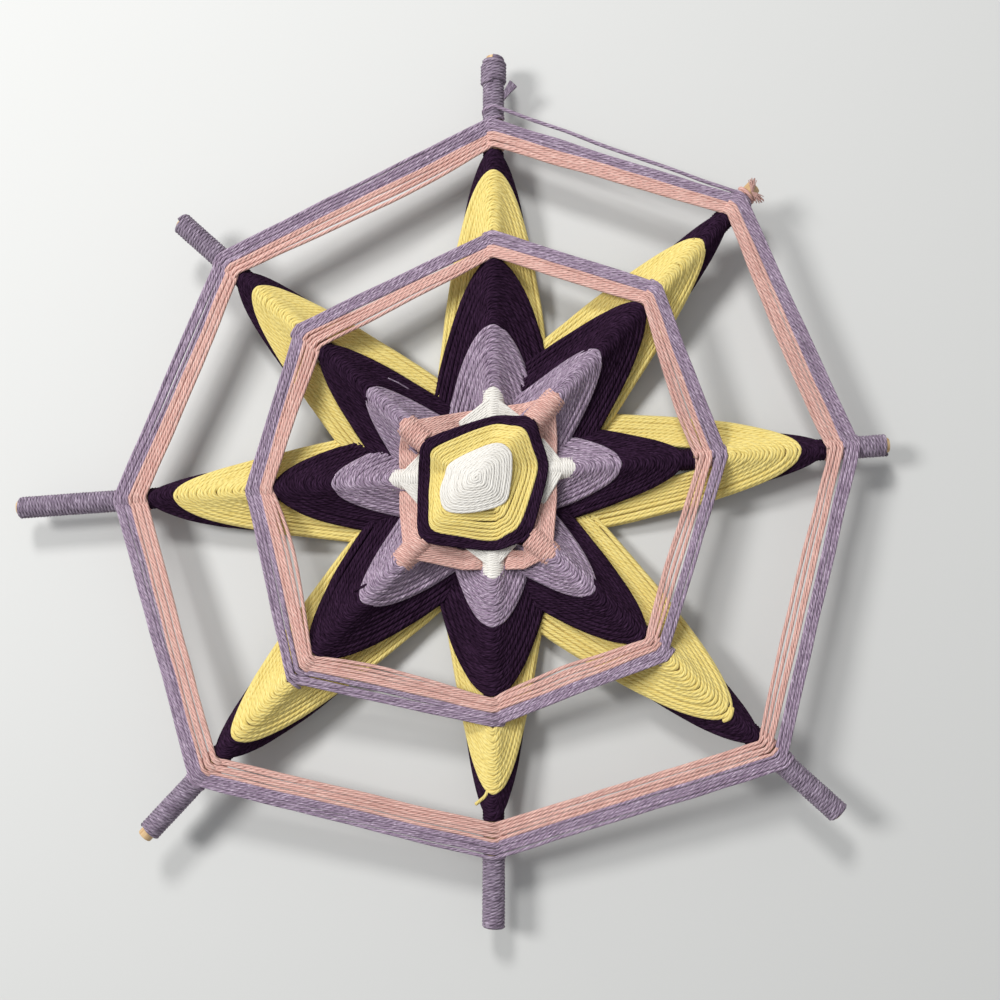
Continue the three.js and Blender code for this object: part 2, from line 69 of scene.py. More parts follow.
# the four sticks cross at the hub, all lengths below are millimetres from there
hub = Vector((12.634445, -0.475677, 14.05))
stickRadius = 2.5
sticks = [
    {"name": "horizontal", "angle": 1.7, "aside": 2.05, "level": -2.65},
    {"name": "rising", "angle": 44.7, "aside": 0.8, "level": 2.65},
    {"name": "vertical", "angle": 87.9, "aside": -3.2, "level": -2.65},
    {"name": "falling", "angle": 135.7, "aside": 3.85, "level": 2.65},
]
# two arms for each stick; every list of eight below goes round in this order
arms = [
    {"name": "right", "stick": 0, "sign": 1, "end": 137.63},
    {"name": "upper_right", "stick": 1, "sign": 1, "end": 136.66},
    {"name": "top", "stick": 2, "sign": 1, "end": 150.77},
    {"name": "upper_left", "stick": 3, "sign": 1, "end": 139.48},
    {"name": "left", "stick": 0, "sign": -1, "end": 162.79},
    {"name": "lower_left", "stick": 1, "sign": -1, "end": 164.80},
    {"name": "bottom", "stick": 2, "sign": -1, "end": 149.58},
    {"name": "lower_right", "stick": 3, "sign": -1, "end": 160.90},
]
frontArms = [1, 3, 5, 7]
backArms = [0, 2, 4, 6]
armCount = len(arms)
stickCount = len(sticks)
fullTurn = 2.0 * math.pi


def levelOf(arm):
    return sticks[arm["stick"]]["level"]


def axesOf(arm):
    turn = math.radians(sticks[arm["stick"]]["angle"])
    along = Vector((math.cos(turn), math.sin(turn), 0.0))
    leftward = Vector((-along.y, along.x, 0.0))
    return along, leftward


# a point beside an arm: distance out from the hub, left of the stick's axis, height over the hub
def armPoint(arm, distance, left, height):
    along, leftward = axesOf(arm)
    sign = arm["sign"]
    aside = sticks[arm["stick"]]["aside"]
    return along * (sign * distance) + leftward * (aside + sign * left) + Vector((0.0, 0.0, height))


def besideArm(arm, point):
    along, leftward = axesOf(arm)
    sign = arm["sign"]
    aside = sticks[arm["stick"]]["aside"]
    return sign * point.dot(along), sign * (point.dot(leftward) - aside)


# where a straight line in plan passes a stick
def crossing(start, end, arm, height):
    a0, l0 = besideArm(arm, start)
    a1, l1 = besideArm(arm, end)
    share = l0 / (l0 - l1)
    return armPoint(arm, a0 + (a1 - a0) * share, 0.0, height)


# half of a strand's arch over a stick, from the ridge to where it leaves the wood towards a target
arch = {"leastBend": 0.05, "mostBend": 1.35, "leastRun": 0.5, "passes": 4, "steps": 5}


def archSide(arm, apex, side, target, ring):
    level = levelOf(arm)
    targetAlong, targetLeft = besideArm(arm, target)
    targetLeft *= side
    drop = target.z - level
    bend = math.atan2(targetLeft, drop) - math.acos(min(1.0, ring / math.hypot(targetLeft, drop)))
    bend = max(arch["leastBend"], min(bend, arch["mostBend"]))
    leave = apex
    for _ in range(arch["passes"]):
        slant = math.atan2(targetLeft - ring * math.sin(bend), max(leave - targetAlong, arch["leastRun"]))
        unrolled = math.atan2(math.tan(slant), math.cos(bend))
        curl = ring * bend / math.cos(unrolled)
        leave = apex - curl * (1.0 - math.sin(unrolled))
    points = []
    for step in range(arch["steps"] + 1):
        sweep = (0.5 * math.pi - unrolled) * step / arch["steps"]
        turn = curl * math.sin(sweep) / ring
        out = apex - curl * (1.0 - math.cos(sweep))
        points.append(armPoint(arm, out, side * ring * math.sin(turn), level + ring * math.cos(turn)))
    return points


# turns round one arm, drawn in to the end ring over the last stretch
wrap = {"perTurn": 12, "drawnOver": 2.4, "wander": 0.08}


def turnsAlong(arm, start, end, ring, pitch, endRing):
    level = levelOf(arm)
    steps = max(wrap["perTurn"], int(round(abs(end - start) / pitch * wrap["perTurn"])))
    points = []
    for step in range(steps + 1):
        turn = fullTurn * step / wrap["perTurn"]
        out = start + (end - start) * step / steps
        radius = ring + (endRing - ring) * max(0.0, 1.0 - (end - out) / wrap["drawnOver"]) ** 2
        points.append(armPoint(arm, out, radius * math.sin(turn), level + radius * math.cos(turn)))
    return points


# breaks long stretches so that they can wander a little
def broken(points, longest, closed):
    ends = points[1:] + points[:1] if closed else points[1:]
    result = []
    for start, end in zip(points, ends):
        count = max(1, int(math.ceil((end - start).length / longest)))
        for step in range(count):
            result.append(start.lerp(end, step / count))
    if not closed:
        result.append(points[-1])
    return result


# a smooth line through a few points
def smoothed(points, perSpan, closed):
    count = len(points)
    spans = count if closed else count - 1
    result = []
    for span in range(spans):
        if closed:
            a, b, c, d = (points[(span + k) % count] for k in (-1, 0, 1, 2))
        else:
            a, b, c, d = (points[max(0, min(count - 1, span + k))] for k in (-1, 0, 1, 2))
        for step in range(perSpan):
            t = step / perSpan
            result.append(0.5 * (2.0 * b + (c - a) * t + (2.0 * a - 5.0 * b + 4.0 * c - d) * t * t
                                 + (3.0 * b - a - 3.0 * c + d) * t * t * t))
    if not closed:
        result.append(points[-1])
    return result


# yarn strays a little from its ideal line, each strand by its own seed
wander = {"scale": 0.07, "seedSteps": (7.31, 3.17, 5.93)}


def wandered(points, amount, seed):
    shift = Vector([seed * step for step in wander["seedSteps"]])
    return [point + noise.noise_vector(point * wander["scale"] + shift) * amount for point in points]


yarn = {
    "thickness": 1.44, "sides": 8, "longest": 4.0, "wander": 0.14,
    "uneven": 0.08, "unevenScale": 0.35, "unevenStep": 2.7,
    "uvShift": 3.0, "weld": 1e-7,
}


# one piece of yarn: strands are (points, closed, thickness), the UV runs in metres along and in turns around
def yarnPiece(name, node, strands, material):
    curve = bpy.data.curves.new(name, "CURVE")
    curve.dimensions = "3D"
    curve.bevel_depth = 0.5 * mm
    curve.bevel_resolution = (yarn["sides"] - 4) // 2
    curve.use_fill_caps = True
    for number, (points, closed, thickness) in enumerate(strands):
        spline = curve.splines.new("POLY")
        spline.points.add(len(points) - 1)
        places = []
        radii = []
        shift = Vector((number * yarn["unevenStep"], 0.0, 0.0))
        for point in points:
            place = (point + hub) * mm
            swell = yarn["uneven"] * noise.noise(point * yarn["unevenScale"] + shift)
            places.extend((place.x, place.y, place.z, 1.0))
            radii.append(thickness * (1.0 + swell))
        spline.points.foreach_set("co", places)
        spline.points.foreach_set("radius", radii)
        spline.use_cyclic_u = closed
        spline.use_smooth = True
    holder = bpy.data.objects.new(name + "_path", curve)
    scene.collection.objects.link(holder)
    bpy.context.view_layer.update()
    mesh = bpy.data.meshes.new_from_object(holder.evaluated_get(bpy.context.evaluated_depsgraph_get()))
    bpy.data.objects.remove(holder)
    layUv(mesh, strands, name)
    mesh.name = name
    mesh.materials.clear()
    mesh.materials.append(material)
    piece = bpy.data.objects.new(name, mesh)
    scene.collection.objects.link(piece)
    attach(piece, "root")
    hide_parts(node)
    print(name, len(strands), "strands", sum(len(face.vertices) - 2 for face in mesh.polygons), "triangles")


# the caps of open strands come first in the mesh, as triangles, then the quads of each tube in turn
def layUv(mesh, strands, name):
    layer = mesh.uv_layers[0]
    flat = np.zeros(2 * len(mesh.loops))
    layer.data.foreach_get("uv", flat)
    uv = flat.reshape(-1, 2)
    draw = random.Random(name)
    capLoops = 2 * 3 * (yarn["sides"] - 2)
    first = capLoops * sum(1 for points, closed, thickness in strands if not closed)
    for points, closed, thickness in strands:
        ends = points[1:] + points[:1] if closed else points[1:]
        spans = len(ends)
        last = first + spans * yarn["sides"] * 4
        lengths = np.cumsum([0.0] + [(end - start).length * mm for start, end in zip(points, ends)])
        along = np.interp(uv[first:last, 0] * spans, np.arange(spans + 1), lengths)
        uv[first:last, 0] = along + draw.uniform(0.0, yarn["uvShift"])
        first = last
    if first != len(mesh.loops):
        raise ValueError(name + ": strands and tubes differ")
    layer.data.foreach_set("uv", uv.ravel())
    weld = bmesh.new()
    weld.from_mesh(mesh)
    bmesh.ops.remove_doubles(weld, verts=weld.verts, dist=yarn["weld"])
    weld.to_mesh(mesh)
    weld.free()


# shader helpers
def addNode(tree, kind, **values):
    node = tree.nodes.new(kind)
    for key, value in values.items():
        setattr(node, key, value)
    return node


def wire(tree, value, socket):
    if hasattr(value, "is_output"):
        tree.links.new(value, socket)
    else:
        socket.default_value = value


def calc(tree, operation, first, second=0.0, third=0.0):
    node = addNode(tree, "ShaderNodeMath", operation=operation)
    for value, socket in zip((first, second, third), node.inputs):
        wire(tree, value, socket)
    return node.outputs[0]


def mixed(tree, factor, first, second):
    node = addNode(tree, "ShaderNodeMix", data_type="RGBA")  # its colour sockets are 6, 7 and 2
    wire(tree, factor, node.inputs[0])
    wire(tree, first, node.inputs[6])
    wire(tree, second, node.inputs[7])
    return node.outputs[2]


def ranged(tree, value, low, high, newLow=0.0, newHigh=1.0):
    node = addNode(tree, "ShaderNodeMapRange")
    for number, item in enumerate((value, low, high, newLow, newHigh)):
        wire(tree, item, node.inputs[number])
    return node.outputs[0]


def noisy(tree, vector, scale, detail=2.0, roughness=0.5):
    node = addNode(tree, "ShaderNodeTexNoise")
    wire(tree, vector, node.inputs["Vector"])
    node.inputs["Scale"].default_value = scale
    node.inputs["Detail"].default_value = detail
    node.inputs["Roughness"].default_value = roughness
    return node.outputs[0]


# plies twisted round each other, with their fibres and the paler flecks of the spun wool
# each noise has its spots per metre along the yarn and its width around it
spun = {
    "plyRoundness": 0.6, "fibre": (300.0, 2.6), "fleck": (520.0, 2.0), "fleckRange": (0.56, 0.70),
    "patch": (45.0, 0.2),
}


def makePlyGroup():
    group = bpy.data.node_groups.new("twistedYarn", "ShaderNodeTree")
    group.interface.new_socket(name="Yarn", in_out="INPUT", socket_type="NodeSocketVector")
    for name in ("Ply Length", "Plies"):
        group.interface.new_socket(name=name, in_out="INPUT", socket_type="NodeSocketFloat")
    for name in ("Ply", "Fibre", "Fleck", "Patch"):
        group.interface.new_socket(name=name, in_out="OUTPUT", socket_type="NodeSocketFloat")
    inside = addNode(group, "NodeGroupInput")
    outside = addNode(group, "NodeGroupOutput")
    split = addNode(group, "ShaderNodeSeparateXYZ")
    group.links.new(inside.outputs["Yarn"], split.inputs[0])
    along = split.outputs[0]
    turns = calc(group, "ADD", split.outputs[1], calc(group, "DIVIDE", along, inside.outputs["Ply Length"]))
    lay = calc(group, "MULTIPLY", calc(group, "MULTIPLY", turns, inside.outputs["Plies"]), math.pi)
    ply = calc(group, "POWER", calc(group, "ABSOLUTE", calc(group, "COSINE", lay)), spun["plyRoundness"])
    angle = calc(group, "MULTIPLY", turns, fullTurn)

    def spunAround(perMetre, around):
        spot = addNode(group, "ShaderNodeCombineXYZ")
        wire(group, calc(group, "MULTIPLY", along, perMetre), spot.inputs[0])
        wire(group, calc(group, "MULTIPLY", calc(group, "COSINE", angle), around), spot.inputs[1])
        wire(group, calc(group, "MULTIPLY", calc(group, "SINE", angle), around), spot.inputs[2])
        return spot.outputs[0]
    fibre = noisy(group, spunAround(*spun["fibre"]), 1.0, 3.0, 0.6)
    fleck = ranged(group, noisy(group, spunAround(*spun["fleck"]), 1.0, 1.0), *spun["fleckRange"])
    patch = noisy(group, spunAround(*spun["patch"]), 1.0, 1.0)
    for value, name in ((ply, "Ply"), (fibre, "Fibre"), (fleck, "Fleck"), (patch, "Patch")):
        group.links.new(value, outside.inputs[name])
    return group


plyGroup = makePlyGroup()


# colours are written as they look on screen
def linear(colour):
    return tuple(((c + 0.055) / 1.055) ** 2.4 if c > 0.04045 else c / 12.92 for c in colour) + (1.0,)


# one yarn colour: painted shade in the grooves between the plies, also the colour of darker fibres and
# patches, body of the ply and paler fibres
yarnLook = {
    "plyLength": 0.0085, "plies": 4.0, "paleFibres": (0.35, 0.75), "darkFibres": (0.5, 0.2, 0.0, 0.6),
    "darkPatches": (0.35, 0.75, 0.0, 0.3), "roughness": (0.3, 0.7, 0.8, 1.0), "sheenRoughness": 0.5,
    "bumpDistance": 0.00024, "fibreRelief": 0.7,
}


def yarnMaterial(name, grooveShadeAndDark, body, pale, flecks, fibres=0.45, sheen=0.12, gloss=0.1, relief=0.85):
    material = bpy.data.materials.new(name)
    material.use_nodes = True
    tree = material.node_tree
    shader = tree.nodes["Principled BSDF"]
    spot = addNode(tree, "ShaderNodeUVMap")
    twist = addNode(tree, "ShaderNodeGroup", node_tree=plyGroup)
    tree.links.new(spot.outputs[0], twist.inputs["Yarn"])
    twist.inputs["Ply Length"].default_value = yarnLook["plyLength"]
    twist.inputs["Plies"].default_value = yarnLook["plies"]
    fibre = twist.outputs["Fibre"]
    # painted shade: the ply mask lays the darker groove colour into the grooves between the plies
    colour = mixed(tree, twist.outputs["Ply"], linear(grooveShadeAndDark), linear(body))
    colour = mixed(tree, ranged(tree, fibre, *yarnLook["paleFibres"], 0.0, fibres), colour, linear(pale))
    colour = mixed(tree, ranged(tree, fibre, *yarnLook["darkFibres"]), colour, linear(grooveShadeAndDark))
    colour = mixed(tree, calc(tree, "MULTIPLY", twist.outputs["Fleck"], flecks), colour, linear(pale))
    patch = ranged(tree, twist.outputs["Patch"], *yarnLook["darkPatches"])
    colour = mixed(tree, patch, colour, linear(grooveShadeAndDark))
    tree.links.new(colour, shader.inputs["Base Color"])
    tree.links.new(ranged(tree, fibre, *yarnLook["roughness"]), shader.inputs["Roughness"])
    shader.inputs["Specular IOR Level"].default_value = gloss
    shader.inputs["Sheen Weight"].default_value = sheen
    shader.inputs["Sheen Roughness"].default_value = yarnLook["sheenRoughness"]
    bump = addNode(tree, "ShaderNodeBump")
    bump.inputs["Strength"].default_value = relief
    bump.inputs["Distance"].default_value = yarnLook["bumpDistance"]
    height = calc(tree, "MULTIPLY_ADD", fibre, yarnLook["fibreRelief"], twist.outputs["Ply"])
    tree.links.new(height, bump.inputs["Height"])
    tree.links.new(bump.outputs[0], shader.inputs["Normal"])
    return material


whiteYarn = yarnMaterial("white_yarn", grooveShadeAndDark=(0.80, 0.78, 0.74), body=(0.905, 0.89, 0.862),
                         pale=(0.965, 0.955, 0.935), flecks=0.4, relief=0.5)
yellowYarn = yarnMaterial("yellow_yarn", grooveShadeAndDark=(0.79, 0.685, 0.34), body=(0.91, 0.83, 0.505),
                          pale=(0.965, 0.915, 0.65), flecks=0.35, relief=0.65)
purpleYarn = yarnMaterial("purple_yarn", grooveShadeAndDark=(0.022, 0.01, 0.024), body=(0.145, 0.075, 0.145),
                          pale=(0.31, 0.21, 0.32), flecks=0.4, fibres=0.5, sheen=0.0, gloss=0.03, relief=1.0)
pinkYarn = yarnMaterial("pink_yarn", grooveShadeAndDark=(0.61, 0.42, 0.385), body=(0.89, 0.69, 0.645),
                        pale=(0.975, 0.865, 0.815), flecks=0.5)
wrapYarn = yarnMaterial("lavender_wrap_yarn", grooveShadeAndDark=(0.19, 0.155, 0.205), body=(0.50, 0.43, 0.51),
                        pale=(0.82, 0.76, 0.83), flecks=0.7)
lavenderYarn = yarnMaterial("lavender_yarn", grooveShadeAndDark=(0.22, 0.175, 0.235), body=(0.58, 0.485, 0.585),
                            pale=(0.90, 0.83, 0.90), flecks=0.7)
print("yarn colours mixed")


# pale dowel wood, grain runs along each stick
woodLook = {
    "pale": (0.86, 0.75, 0.58), "dark": (0.70, 0.55, 0.37), "across": 900.0, "along": 28.0,
    "grain": (0.35, 0.7), "broadScale": 60.0, "broad": (0.4, 0.8, 0.0, 0.4),
    "roughness": (0.3, 0.7, 0.55, 0.75), "bumpStrength": 0.3, "bumpDistance": 0.0002,
}


def woodMaterial(name, angle):
    material = bpy.data.materials.new(name)
    material.use_nodes = True
    tree = material.node_tree
    shader = tree.nodes["Principled BSDF"]
    spot = addNode(tree, "ShaderNodeTexCoord")
    turned = addNode(tree, "ShaderNodeMapping")
    turned.inputs["Rotation"].default_value = (0.0, 0.0, -angle)
    tree.links.new(spot.outputs["Object"], turned.inputs["Vector"])
    stretched = addNode(tree, "ShaderNodeMapping")
    stretched.inputs["Scale"].default_value = (woodLook["along"], woodLook["across"], woodLook["across"])
    tree.links.new(turned.outputs[0], stretched.inputs["Vector"])
    grain = noisy(tree, stretched.outputs[0], 1.0, 4.0, 0.6)
    broad = noisy(tree, turned.outputs[0], woodLook["broadScale"])
    pale = linear(woodLook["pale"])
    dark = linear(woodLook["dark"])
    colour = mixed(tree, ranged(tree, grain, *woodLook["grain"]), pale, dark)
    colour = mixed(tree, ranged(tree, broad, *woodLook["broad"]), colour, dark)
    tree.links.new(colour, shader.inputs["Base Color"])
    tree.links.new(ranged(tree, grain, *woodLook["roughness"]), shader.inputs["Roughness"])
    bump = addNode(tree, "ShaderNodeBump")
    bump.inputs["Strength"].default_value = woodLook["bumpStrength"]
    bump.inputs["Distance"].default_value = woodLook["bumpDistance"]
    tree.links.new(grain, bump.inputs["Height"])
    tree.links.new(bump.outputs[0], shader.inputs["Normal"])
    return material


# round dowels with slightly eased ends, smooth but for the flat of each end
dowel = {"sides": 40, "ease": 0.35, "easeSegments": 3}
for number, stick in enumerate(sticks):
    plus = [arm for arm in arms if arm["stick"] == number and arm["sign"] > 0][0]
    minus = [arm for arm in arms if arm["stick"] == number and arm["sign"] < 0][0]
    length = plus["end"] + minus["end"]
    angle = math.radians(stick["angle"])
    wood = bmesh.new()
    bmesh.ops.create_cone(wood, cap_ends=True, segments=dowel["sides"], radius1=stickRadius * mm,
                          radius2=stickRadius * mm, depth=length * mm)
    rims = [edge for edge in wood.edges if len({round(vert.co.z, 6) for vert in edge.verts}) == 1]
    bmesh.ops.bevel(wood, geom=rims, offset=dowel["ease"] * mm, offset_type="OFFSET", affect="EDGES",
                    segments=dowel["easeSegments"], profile=0.5, material=-1)
    middle = armPoint(plus, 0.5 * (plus["end"] - minus["end"]), 0.0, stick["level"])
    lay = Matrix.Translation((middle + hub) * mm)
    lay = lay @ Matrix.Rotation(angle, 4, "Z") @ Matrix.Rotation(0.5 * math.pi, 4, "Y")
    bmesh.ops.transform(wood, matrix=lay, verts=wood.verts)
    mesh = bpy.data.meshes.new(stick["name"] + "_dowel")
    wood.to_mesh(mesh)
    wood.free()
    mesh.polygons.foreach_set("use_smooth", [len(face.vertices) < 5 for face in mesh.polygons])
    mesh.materials.append(woodMaterial(stick["name"] + "_wood", angle))
    piece = bpy.data.objects.new(stick["name"] + "_dowel", mesh)
    scene.collection.objects.link(piece)
    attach(piece, "root")
    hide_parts(stick["name"] + "_stick")
print("dowels made")


# strand lines over a stick sit this far from its axis
ridgeRing = stickRadius + 0.5 * yarn["thickness"]


def finished(points, closed, seed, thickness=yarn["thickness"], amount=yarn["wander"]):
    points = broken(points, yarn["longest"], closed)
    return wandered(points, amount, seed), closed, thickness


# a neat run of turns round one arm
def wrapStrand(arm, start, end, ring, pitch, thickness, seed, endRing=None):
    turns = turnsAlong(arm, start, end, ring, pitch, ring if endRing is None else endRing)
    return wandered(turns, wrap["wander"], seed), False, thickness


# where each colour of the eye ends, out along the arms
eye = {
    "centre": (-2.07, -0.46),
    "white": (10.2, 12.9, 12.0, 11.3, 13.2, 16.2, 11.2, 11.0),
    "yellow": (18.9, 21.7, 18.4, 19.2, 18.0, 24.8, 21.2, 20.2),
    "purple": (22.3, 26.0, 21.6, 22.9, 22.2, 29.2, 24.6, 25.0),
}


# white eye: a low mound of rounds over the crossing of the sticks
whiteEye = {
    "rounds": 14, "first": 0.06, "top": 9.8, "edge": 6.3, "crown": 1.35, "thickness": 1.25,
    "perSpan": 4, "wander": 0.2,
    "rim": ((20, 13.1), (38, 15.0), (57, 14.1), (95, 9.7), (147, 10.5), (172, 10.8), (197, 13.0), (219, 14.8),
            (237, 13.4), (274, 11.1), (317, 12.6), (347, 11.7)),
}


def eyeRound(share, seed):
    height = whiteEye["edge"] + (whiteEye["top"] - whiteEye["edge"]) * (1.0 - share ** whiteEye["crown"])
    middle = Vector((eye["centre"][0], eye["centre"][1], height))
    corners = []
    for turn, reach in whiteEye["rim"]:
        side = Vector((math.cos(math.radians(turn)), math.sin(math.radians(turn)), 0.0))
        corners.append(middle + side * (share * (reach - 0.5 * whiteEye["thickness"])))
    around = smoothed(corners, whiteEye["perSpan"], True)
    return finished(around, True, seed, whiteEye["thickness"], whiteEye["wander"])


strands = []
for turn in range(whiteEye["rounds"]):
    share = whiteEye["first"] + (1.0 - whiteEye["first"]) * turn / (whiteEye["rounds"] - 1)
    strands.append(eyeRound(share, turn))
yarnPiece("white_eye_winding", "white_eye", strands, whiteYarn)


# rings round the eye pass over all eight arms, lifted a little over the sticks behind
ringLine = {"perSpan": 5, "wander": 0.3}


def ringRound(reaches, shape, share, seed):
    corners = []
    for number, arm in enumerate(arms):
        lift = shape["frontLift"]
        if number in backArms:
            lift = shape["backLift"] + shape["innerLift"] * (1.0 - share) ** 2
        corners.append(armPoint(arm, reaches[number], 0.0, levelOf(arm) + ridgeRing + lift))
    points = []
    for here, there in zip(corners, corners[1:] + corners[:1]):
        middle = here.lerp(there, 0.5)
        outward = Vector((middle.x, middle.y, 0.0)) * shape["swell"]
        points.extend((here, middle + outward))
    around = smoothed(points, ringLine["perSpan"], True)
    return finished(around, True, seed, shape["thickness"], ringLine["wander"])


def eyeRing(ring, inner, outer):
    rounds = []
    last = ring["rounds"] - 1
    for turn in range(ring["rounds"]):
        reaches = []
        for start, end in zip(inner, outer):
            first = start + ring["inset"]
            reaches.append(first + (end - 0.5 * ring["thickness"] - first) * turn / last)
        rounds.append(ringRound(reaches, ring, turn / last, ring["seed"] + turn))
    return rounds


yellowRing = {"rounds": 10, "inset": -2.4, "frontLift": 0.0, "backLift": 1.7, "innerLift": 2.8,
              "swell": 0.03, "thickness": 1.3, "seed": 20}
strands = eyeRing(yellowRing, eye["white"], eye["yellow"])
yarnPiece("yellow_ring_winding", "yellow_eye_ring", strands, yellowYarn)

purpleRing = {"rounds": 4, "inset": 0.5, "frontLift": 0.5, "backLift": 1.4, "innerLift": 0.0,
              "swell": 0.03, "thickness": 1.4, "seed": 30}
strands = eyeRing(purpleRing, eye["yellow"], eye["purple"])
yarnPiece("purple_ring_winding", "purple_eye_ring", strands, purpleYarn)


# a square from arm to next arm but one, behind the stick between them
def squareRound(numbers, reaches, shape, seed):
    points = []
    tips = [armPoint(arms[n], reaches[n] + shape["overshoot"], 0.0, 0.0) for n in numbers]
    behind = []
    for place, number in enumerate(numbers):
        between = arms[(number + 1) % armCount]
        straight = crossing(tips[place], tips[(place + 1) % len(tips)], between, shape["height"])
        out = besideArm(between, straight)[0] + shape["bow"][(number + 1) % armCount]
        behind.append(armPoint(between, out, 0.0, shape["height"]))
    spans = []
    for place in range(len(tips)):
        travel = (tips[(place + 1) % len(tips)] - tips[place]).normalized()
        before = []
        after = []
        for distance, height in shape["beside"]:
            rise = Vector((0.0, 0.0, height - shape["height"]))
            before.append(behind[place] - travel * distance + rise)
            after.append(behind[place] + travel * distance + rise)
        spans.append(before + [behind[place]] + after[::-1])
    for place, number in enumerate(numbers):
        arm = arms[number]
        came = archSide(arm, reaches[number], -1, spans[place - 1][-1], shape["ring"])
        goes = archSide(arm, reaches[number], 1, spans[place][0], shape["ring"])
        points.extend(reversed(came))
        points.extend(goes[1:])
        points.extend(spans[place])
    return finished(points, True, seed, shape["thickness"])


# rounds of a square, then a neck of turns round each of its arms
def squareWinding(numbers, shape):
    rounds = []
    for turn in range(shape["rounds"]):
        reaches = [edge - shape["pitch"] * (shape["rounds"] - 1 - turn) for edge in shape["edge"]]
        rounds.append(squareRound(numbers, reaches, shape, shape["seed"] + turn))
    for number in numbers:
        start = eye["purple"][number] + shape["start"]
        rounds.append(wrapStrand(arms[number], start, shape["neck"][number], shape["neckRing"],
                                 shape["neckPitch"], shape["neckThickness"], shape["neckSeed"] + number,
                                 shape["neckEnd"]))
    return rounds


whitePoints = {
    "rounds": 9, "pitch": 0.95, "height": -0.7, "ring": 3.25, "thickness": 1.1, "overshoot": 2.4,
    "seed": 40,
    "beside": ((5.0, -0.6),),
    "edge": (27.8, 0.0, 28.2, 0.0, 29.2, 0.0, 30.2, 0.0),
    "bow": (0.0,) * armCount,
    "start": -1.4, "neck": (32.3, 0.0, 32.5, 0.0, 32.7, 0.0, 34.5, 0.0),
    "neckRing": 3.5, "neckEnd": 2.75, "neckPitch": 0.85, "neckThickness": 1.2, "neckSeed": 60,
}
strands = squareWinding(backArms, whitePoints)
yarnPiece("white_points_winding", "white_points", strands, whiteYarn)

pinkSquare = {
    "rounds": 9, "pitch": 1.0, "height": -6.4, "ring": 3.0, "thickness": 1.2, "overshoot": 2.4,
    "seed": 70,
    "beside": ((10.5, -0.8), (5.2, -0.6)),
    "edge": (0.0, 34.4, 0.0, 31.6, 0.0, 36.4, 0.0, 33.8),
    "bow": (0.0, 0.0, 0.0, 0.0, 1.0, 0.0, 2.8, 0.0),
    "start": -0.3, "neck": (0.0, 38.6, 0.0, 33.6, 0.0, 41.3, 0.0, 36.4),
    "neckRing": 3.7, "neckEnd": 2.85, "neckPitch": 1.05, "neckThickness": 1.3, "neckSeed": 90,
}
strands = squareWinding(frontArms, pinkSquare)
yarnPiece("pink_square_winding", "pink_square", strands, pinkYarn)


# rounds of a spindle stray a little in reach and bow, a stacked round lies a drop below the one before
spindle = {"steps": 28, "soft": 12.0, "wander": 0.22, "stray": 0.3, "bowStray": 0.06, "drop": 1.1}


# how far beside the hub a loop of this reach and bow passes
def waistOf(apex, bow):
    return bow * math.sqrt(math.hypot(apex, spindle["soft"]) - spindle["soft"])


# half of a spindle loop: from the ridge of one arm, bowed out like a parabola, to beside the hub
def spindleSide(arm, apex, bow, waist, side, height, ring):
    level = levelOf(arm)
    tip = math.hypot(apex, spindle["soft"])
    hubBow = bow * waist / waistOf(apex, bow)
    drop = height - level
    bend = math.atan2(waist, drop) - math.acos(min(1.0, ring / math.hypot(waist, drop)))
    contact = ring * math.sin(bend)
    points = []
    for step in range(spindle["steps"] + 1):
        out = apex * (1.0 - (step / spindle["steps"]) ** 2)
        ease = (out / apex) ** 2 * (3.0 - 2.0 * out / apex)
        left = (hubBow + (bow - hubBow) * ease) * math.sqrt(max(0.0, tip - math.hypot(out, spindle["soft"])))
        if left < contact:
            top = level + math.sqrt(ring * ring - left * left)
        else:
            top = level + ring * math.cos(bend) - (left - contact) * math.tan(bend)
        points.append(armPoint(arm, out, side * left, top))
    return points


# a spindle: a long loop over two opposite arms, passing behind the sticks beside the hub
def spindleRound(number, tips, rightBows, leftBows, shape, height, seed):
    points = []
    opposite = number + stickCount
    for here, there in ((number, opposite), (opposite, number)):
        rightWaist = waistOf(tips[here], rightBows[here]) + waistOf(tips[there], leftBows[there])
        leftWaist = waistOf(tips[here], leftBows[here]) + waistOf(tips[there], rightBows[there])
        arm = arms[here]
        ring = shape["ring"]
        share = 0.5 * shape["waist"]
        rightSide = spindleSide(arm, tips[here], rightBows[here], share * rightWaist, -1, height, ring)
        leftSide = spindleSide(arm, tips[here], leftBows[here], share * leftWaist, 1, height, ring)
        points.extend(reversed(rightSide[:-1]))
        points.extend(leftSide[1:])
    return finished(points, True, seed, shape["thickness"], spindle["wander"])


# rounds of spindles over all four sticks, each round further out and wider than the last
def spindleStar(shape):
    rounds = []
    draw = random.Random(shape["seed"])
    last = shape["rounds"] - 1
    for turn in range(shape["rounds"]):
        share = turn / last
        stray = spindle["stray"] if 0 < turn < last else 0.0
        beside = (turn - turn % shape["stack"]) / last
        grown = shape["narrow"] + (1.0 - shape["narrow"]) * beside
        height = shape["height"] - shape["sink"] * share - spindle["drop"] * (turn % shape["stack"])
        tips = [start + (end - start) * share + draw.uniform(-stray, stray)
                for start, end in zip(shape["from"], shape["to"])]
        rightBows = [bow * grown * (1.0 + spindle["bowStray"] * draw.uniform(-stray, stray))
                     for bow in shape["rightBow"]]
        leftBows = [bow * grown * (1.0 + spindle["bowStray"] * draw.uniform(-stray, stray))
                    for bow in shape["leftBow"]]
        for number in range(stickCount):
            roundSeed = shape["seed"] + turn * stickCount + number
            rounds.append(spindleRound(number, tips, rightBows, leftBows, shape, height, roundSeed))
    return rounds


# turns on the stick close the tips of a star up to the winding that follows
knobWrap = {"pitch": 1.0, "thickness": 1.2}


